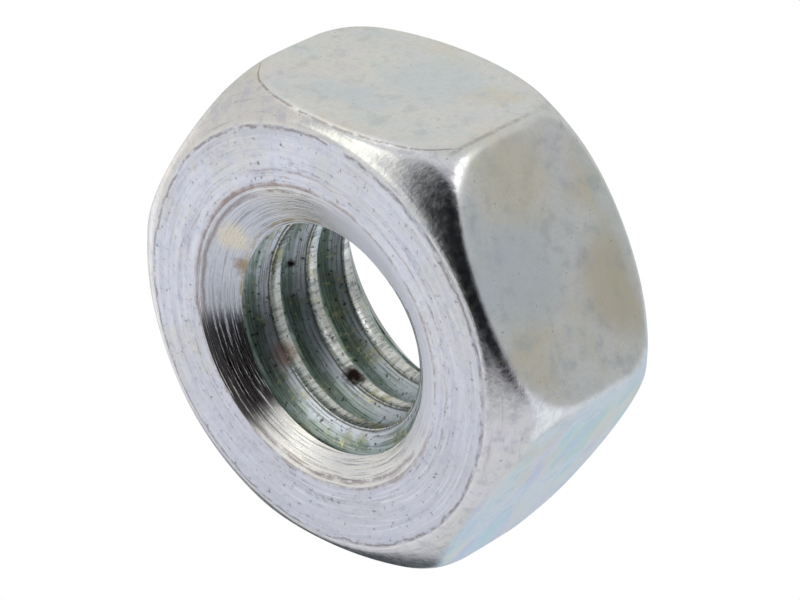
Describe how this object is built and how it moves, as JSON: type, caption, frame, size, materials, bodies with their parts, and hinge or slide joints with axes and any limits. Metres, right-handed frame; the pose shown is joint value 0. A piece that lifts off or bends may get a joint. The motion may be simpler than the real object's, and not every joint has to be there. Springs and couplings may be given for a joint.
{
  "type": "hex nut",
  "caption": "Plain six-sided nut with a tapped and countersunk through hole and rounded corners, which screws onto a bolt and is turned with a spanner.",
  "frame": {"origin": "centre of the lower bearing face, on the thread axis, with the nut lying flat", "axes": "+Z along the thread axis, from the lower bearing face to the upper one; +X through a corner; +Y square to a flat"},
  "size_m": [0.0128, 0.0112, 0.0055],
  "materials": {
    "zinc_plate": "bright zinc plate with a clear blue passivation"
  },
  "bodies": {
    "root": {"hex_nut": "zinc_plate"}
  },
  "joints": []
}
